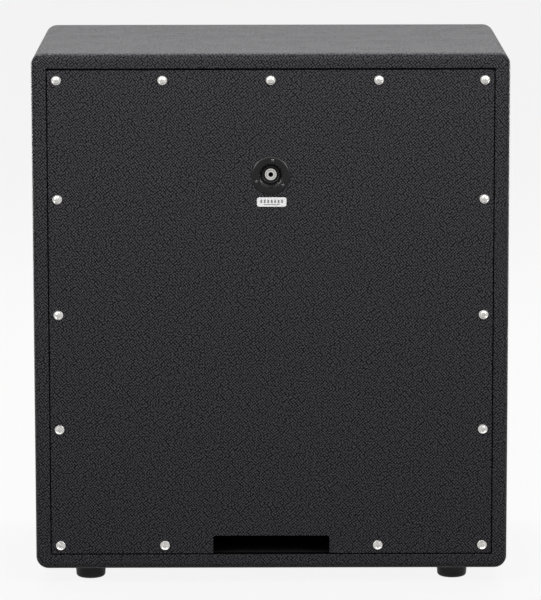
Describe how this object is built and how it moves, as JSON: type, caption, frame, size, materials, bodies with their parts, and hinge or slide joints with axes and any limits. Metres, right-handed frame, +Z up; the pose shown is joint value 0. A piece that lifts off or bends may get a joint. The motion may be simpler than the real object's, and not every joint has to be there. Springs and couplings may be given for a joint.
{
  "type": "guitar speaker cabinet",
  "caption": "Closed-back guitar speaker cabinet with a rear port slot, a recessed quarter-inch jack, side handles, rubber feet and sprung cones behind a woven grille.",
  "frame": {"origin": "on the floor, below the middle of the cabinet", "axes": "+X to the right seen from the front, +Y to the rear panel with the jack, +Z up"},
  "size_m": [0.6298, 0.3931, 0.7045],
  "materials": {
    "plywood": "birch plywood, raw inside",
    "softwood": "planed pine battens",
    "black_ply": "plywood painted matte black",
    "black_vinyl": "black pebble-grain vinyl covering",
    "nickel": "bright nickel plate",
    "zinc_steel": "clear zinc plate",
    "black_steel": "black oxide",
    "black_plastic": "moulded, fine texture",
    "rubber": "moulded rubber",
    "label_paper": "white, blank",
    "phenolic": "brown phenolic sheet",
    "tinned_brass": "tin plated brass",
    "grille_fabric": "black woven grille cloth",
    "piping": "vinyl bead",
    "hook_and_loop": "hook and loop pads",
    "enamel": "dark grey enamel",
    "cone_paper": "dark pulp paper",
    "edge_cloth": "doped cloth",
    "spider_cloth": "resin-treated cloth",
    "coil": "copper winding on a thin former",
    "gasket_board": "pressed board",
    "ferrite": "sintered ferrite",
    "red_pvc": "red lead",
    "black_pvc": "black lead"
  },
  "bodies": {
    "cabinet": {"back_panel": "plywood", "back_panel_covering": "black_vinyl", "back_panel_cup_washers": "nickel", "back_panel_screws": "nickel", "baffle_board": "black_ply", "baffle_cross_cleats": "softwood", "baffle_screws": "black_steel", "baffle_side_cleats": "softwood", "black_leads": "black_pvc", "bottom_panel": "plywood", "foot_screws": "zinc_steel", "foot_washers": "zinc_steel", "grille_cloth": "grille_fabric", "grille_frame": "black_ply", "grille_piping": "piping", "handle_grips": "rubber", "handle_screws": "black_steel", "hook_pads": "hook_and_loop", "jack_dish": "black_plastic", "jack_dish_screws": "black_steel", "jack_insulator": "phenolic", "jack_lugs": "tinned_brass", "jack_nut": "nickel", "jack_sleeve": "nickel", "jack_washer": "nickel", "label": "label_paper", "left_handle_dish": "black_plastic", "left_side_panel": "plywood", "loop_pads": "hook_and_loop", "lower_cone_edge": "edge_cloth", "lower_speaker_frame": "enamel", "lower_spider": "spider_cloth", "push_on_terminals": "tinned_brass", "rear_bottom_cleats": "softwood", "rear_side_cleats": "softwood", "rear_top_cleat": "softwood", "red_leads": "red_pvc", "right_handle_dish": "black_plastic", "right_side_panel": "plywood", "rubber_feet": "rubber", "shell_covering": "black_vinyl", "speaker_bolts": "zinc_steel", "speaker_front_plates": "zinc_steel", "speaker_gaskets": "gasket_board", "speaker_magnets": "ferrite", "speaker_tee_nuts": "zinc_steel", "speaker_yokes": "zinc_steel", "terminal_blades": "tinned_brass", "terminal_strips": "phenolic", "top_panel": "plywood", "upper_cone_edge": "edge_cloth", "upper_speaker_frame": "enamel", "upper_spider": "spider_cloth"},
    "upper_cone_assembly": {"upper_cone": "cone_paper", "upper_dust_cap": "cone_paper", "upper_voice_coil": "coil"},
    "lower_cone_assembly": {"lower_cone": "cone_paper", "lower_dust_cap": "cone_paper", "lower_voice_coil": "coil"},
    "tip_contact": {"jack_tip_contact": "tinned_brass"}
  },
  "joints": [
    {"name": "upper_cone_travel", "type": "slide", "parent": "cabinet", "child": "upper_cone_assembly", "axis": [0, -1, 0], "range_m": [-0.003, 0.003], "stiffness_N_per_m": 7000, "deforming": ["upper_cone_edge", "upper_spider"]},
    {"name": "lower_cone_travel", "type": "slide", "parent": "cabinet", "child": "lower_cone_assembly", "axis": [0, -1, 0], "range_m": [-0.003, 0.003], "stiffness_N_per_m": 7000, "deforming": ["lower_cone_edge", "lower_spider"]},
    {"name": "tip_contact_spring", "type": "hinge", "parent": "cabinet", "child": "tip_contact", "pos_m": [0, 0.1648, 0.5401], "axis": [1, 0, 0], "range_deg": [0, 7], "stiffness_Nm_per_rad": 0.2}
  ]
}
